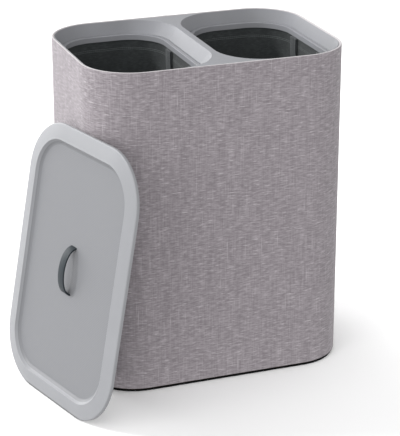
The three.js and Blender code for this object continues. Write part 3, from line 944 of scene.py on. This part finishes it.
strapSizes = {"width": 0.025, "thickness": 0.002, "spread": 0.124, "leg": 0.020, "edge": 0.0005, "steps": 28,
              "legCuts": 3, "pivotZ": 0.5875, "plane": 0.0963}
patchSizes = {"height": 0.034, "thickness": 0.0024, "corner": 0.003, "edge": 0.0005, "plane": 0.0990,
              "rows": (-0.030, -0.0035)}
strapFinish = makeWebbing("strapWebbing", strapSizes["width"] / 2)
patchFinish = makeWebbing("patchWebbing", strapSizes["width"] / 2, patchSizes["rows"])


# a band of webbing that is spun round its lower loop and drawn up to its two ends
def makeStrap(name, body, x):
    size = strapSizes
    leg, middle = size["leg"], size["spread"] / 2
    low = size["pivotZ"] - leg
    piece = addBox(name, (x, middle, low + leg / 2), (size["thickness"], size["width"], leg))
    pickUprights(piece)
    bevelPicked(size["edge"], steps=2)
    pick(piece, "FACE", lambda face: face.normal.z < -squarely)
    bpy.ops.mesh.spin(steps=size["steps"], angle=math.pi, center=(x, 0, low), axis=(1, 0, 0))
    extrudeBy(z=leg)
    pick(piece, "EDGE", lambda edge: run(edge, "z") > near and all(v.co.z > low - near for v in edge.verts))
    bpy.ops.mesh.subdivide(number_cuts=size["legCuts"])
    turnFacesOut()
    closeEdit()

    def alongBand(place):
        if place.z >= low - near:
            return place.z - low, abs(place.y) - middle
        turn = math.atan2(low - place.z, abs(place.y))
        return -turn * middle, math.hypot(place.y, place.z - low) - middle

    mapBy(piece, alongBand)
    smooth(piece, degrees=40, weighted=False)
    dress(piece, strapFinish)
    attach(piece, body)
    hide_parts(body)


def makePatch(name, body, node, x, y):
    size, top = patchSizes, strapSizes["pivotZ"]
    low = top - size["height"]
    piece = addBox(name, (x, y, (low + top) / 2), (size["thickness"], strapSizes["width"], size["height"]))
    pick(piece, "EDGE", lambda edge: run(edge, "x") > near and all(v.co.z < low + near for v in edge.verts))
    bevelPicked(size["corner"], steps=4)
    pick(piece, "FACE", lambda face: abs(face.normal.x) > squarely)
    bpy.ops.mesh.region_to_loop()
    bevelPicked(size["edge"], steps=2)
    closeEdit()
    mapBy(piece, lambda place: (place.z - top, place.y - y))
    smooth(piece, degrees=40, weighted=False)
    dress(piece, patchFinish)
    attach(piece, body)
    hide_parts(node)


for sideName, side in (("left", -1), ("right", 1)):
    body, centre = sideName + "_bag", side * bagShape["x"]
    makeBag(sideName, side)
    makeRim(sideName, side)
    makeFloorBoard(sideName, side)
    for wallName, wall in (("inner", -side), ("outer", side)):
        strapX, patchX = centre + wall * strapSizes["plane"], centre + wall * patchSizes["plane"]
        makeStrap(f"{sideName}BagHandle_{wallName}", f"{body}_handle_{wallName}", strapX)
        for endName, end in (("front", -1), ("back", 1)):
            makePatch(f"{sideName}BagPatch_{wallName}_{endName}", body, f"{body}_patch_{wallName}_{endName}",
                      patchX, end * strapSizes["spread"] / 2)
    print(sideName, "bag made")


# The lid, made lying flat and then stood up against the hamper

lidPlace = {"foot": (-0.339287, -0.155460, 0), "leanDegrees": 10.65, "yawDegrees": 14.5}
lidSizes = {
    "shape": outline(0.2553, 0.1828, 0.104), "cornerSteps": 24, "footChamfer": 0.0006, "edgeHeight": 0.0062,
    "bandWidth": 0.031, "bandRise": 0.0053, "bandBend": 0.3, "bandSteps": 12,
    "lipStart": 0.0044, "lipWidth": 0.0022, "lipSteps": 6, "crestInset": 0.0292, "innerRadius": 0.0018,
    "runOut": 0.002, "dropCurve": 1.9, "dropSteps": 9,
    "panelInset": 0.039, "panelTop": 0.0036, "panelBottom": 0.0012, "panelMargin": 0.008,
    "wall": 0.0024, "wallEdge": 0.0004, "underSteps": 5,
    "ribInset": 0.010, "ribThickness": 0.0024, "ribDepth": 0.006, "ribEdge": 0.0004, "ribRoot": 0.0006,
    "notch": outline(0.0952, 0.1828, 0.0005), "notchTop": -0.0003,
    "slot": outline(0.0018, 0.0093, 0.0006, 0.0445),
}
lidMatrix = (Matrix.Translation(lidPlace["foot"])
             @ Matrix.Rotation(math.radians(lidPlace["yawDegrees"]), 4, "Z")
             @ Matrix.Rotation(math.radians(lidPlace["leanDegrees"] - 90), 4, "Y")
             @ Matrix.Translation((lidSizes["shape"]["halfX"], 0, 0)))


def standUp(piece):
    piece.data.transform(lidMatrix)
    piece.data.update()


def domeHeight(inset):
    size, share = lidSizes, min(inset / lidSizes["bandWidth"], 1)
    bend = size["bandBend"] * math.sin(share * math.pi / 2) + (1 - size["bandBend"]) * share
    return size["edgeHeight"] + size["bandRise"] * bend


# from the lip over the domed band to the panel
def lidTopProfile():
    size = lidSizes
    lip, lipWidth, crest, radius = size["lipStart"], size["lipWidth"], size["crestInset"], size["innerRadius"]
    profile = []
    for step in range(1, size["lipSteps"] + 1):
        turn = math.pi / 2 * step / size["lipSteps"]
        inset = lipWidth * (1 - math.cos(turn))
        profile.append((inset, lip + (domeHeight(inset) - lip) * math.sin(turn)))
    for step in range(1, size["bandSteps"]):
        inset = lipWidth + (crest - lipWidth) * step / size["bandSteps"]
        profile.append((inset, domeHeight(inset)))
    profile += arc(crest, size["edgeHeight"] + size["bandRise"] - radius, radius, 90, 145, steps=5)
    # from its crest the band drops steeply and runs out softly into the panel
    dropInset, dropHeight = profile[-1]
    runEnd, panelTop = size["panelInset"] + size["runOut"], size["panelTop"]
    for step in range(1, size["dropSteps"] + 1):
        left = 1 - step / size["dropSteps"]
        profile.append((runEnd - (runEnd - dropInset) * left,
                        panelTop + (dropHeight - panelTop) * left ** size["dropCurve"]))
    return profile + [(size["panelInset"] + size["panelMargin"], panelTop)]


def lidUnderProfile():
    size = lidSizes
    wall, edge, ribInset, bottom = size["wall"], size["wallEdge"], size["ribInset"], size["panelBottom"]
    profile = [(size["footChamfer"], 0), (wall - edge, 0), (wall, edge), (wall, size["edgeHeight"] - wall)]
    for step in range(size["underSteps"] + 1):
        inset = ribInset + (size["crestInset"] - ribInset) * step / size["underSteps"]
        profile.append((inset, domeHeight(inset) - wall))
    return profile + [(size["panelInset"], bottom), (size["panelInset"] + size["panelMargin"], bottom)]


def makeLid():
    size = lidSizes
    shape, chamfer, lip, ribInset = size["shape"], size["footChamfer"], size["lipStart"], size["ribInset"]
    piece = roundedSlab("lidPanel", shape, chamfer, lip, size["cornerSteps"])
    stepIn(piece, True, (0, lip), lidTopProfile())
    stepIn(piece, False, (0, chamfer), lidUnderProfile())
    ribTop = domeHeight(ribInset) - size["wall"] + size["ribRoot"]
    rib = ringWall("lidRib", grow(shape, -ribInset), size["ribThickness"], -size["ribDepth"], ribTop,
                   size["cornerSteps"], size["ribEdge"])
    cutAway(rib, roundedSlab("notch", size["notch"], -size["ribDepth"] - past, size["notchTop"], steps=2))
    joinAll(piece, rib)
    for end in (1, -1):
        slot = onSide(size["slot"], end)
        cutAway(piece, roundedSlab("slot", slot, -past, size["panelTop"] + past, steps=2))
    mapBy(piece, lambda place: (place.x, place.y))
    smooth(piece, degrees=30)
    standUp(piece)
    dress(piece, lidFinish)
    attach(piece, "lid")
    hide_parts("lid_panel")


makeLid()

# a flat strap that arches over the panel; a cross bar under each of its ends keeps it from pulling out
handleSizes = {"span": 0.092, "rise": 0.0215, "width": 0.018, "thickness": 0.003, "shoulder": 0.0055,
               "legBottom": -0.0027, "edge": 0.0006, "steps": 26, "peakShare": 0.75,
               "bar": outline(0.0025, 0.014, 0.0012), "barTop": -0.0014, "barHeight": 0.0026}


# the strap's middle line: up one leg, over a low arch and down the other
def handlePath():
    size = handleSizes
    half, foot = (size["span"] - size["thickness"]) / 2, lidSizes["panelTop"]
    # a cubic curve reaches three quarters of the height of its two guide points
    rise = (size["rise"] - size["thickness"] / 2) / size["peakShare"]
    path = [(-half, size["legBottom"])]
    for step in range(size["steps"] + 1):
        t = step / size["steps"]
        a, b, c, d = (1 - t) ** 3, 3 * t * (1 - t) ** 2, 3 * t * t * (1 - t), t ** 3
        path.append((half * (d - a) + (half - size["shoulder"]) * (c - b), foot + (b + c) * rise))
    return path + [(half, size["legBottom"])]


def makeHandle():
    size = handleSizes
    path = [Vector(point) for point in handlePath()]
    pickOnly()
    bpy.ops.mesh.primitive_plane_add(size=1, location=(path[0].x, 0, path[0].y))
    piece = openNew("lidHandle", (size["thickness"], size["width"], 1))
    pickAll()
    bevelPicked(size["edge"], steps=3, affect="VERTICES")
    heading = 0.0
    for here, there, after in zip(path, path[1:], path[2:] + path[-1:]):
        onward = ((there - here).normalized() + (after - there).normalized()).normalized()
        wanted = math.atan2(onward.x, onward.y)
        extrudeBy(x=there.x - here.x, z=there.y - here.y)
        bpy.ops.transform.rotate(value=heading - wanted, orient_axis="Y",
                                 center_override=(there.x, 0, there.y))
        heading = wanted
    turnFacesOut()
    for point in (path[0], path[-1]):
        bar = dict(size["bar"], x=point.x)
        joinAll(piece, roundedSlab("bar", bar, size["barTop"] - size["barHeight"], size["barTop"], steps=3))
    mapBy(piece, lambda place: (place.x, place.y))
    smooth(piece, degrees=40, weighted=False)
    standUp(piece)
    dress(piece, rubberFinish)
    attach(piece, "lid")
    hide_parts("lid_handle")


makeHandle()
for end in ("lower", "upper"):
    dress(nodes[f"lid_handle_retainer_{end}"], blackFinish)
print("lid made")
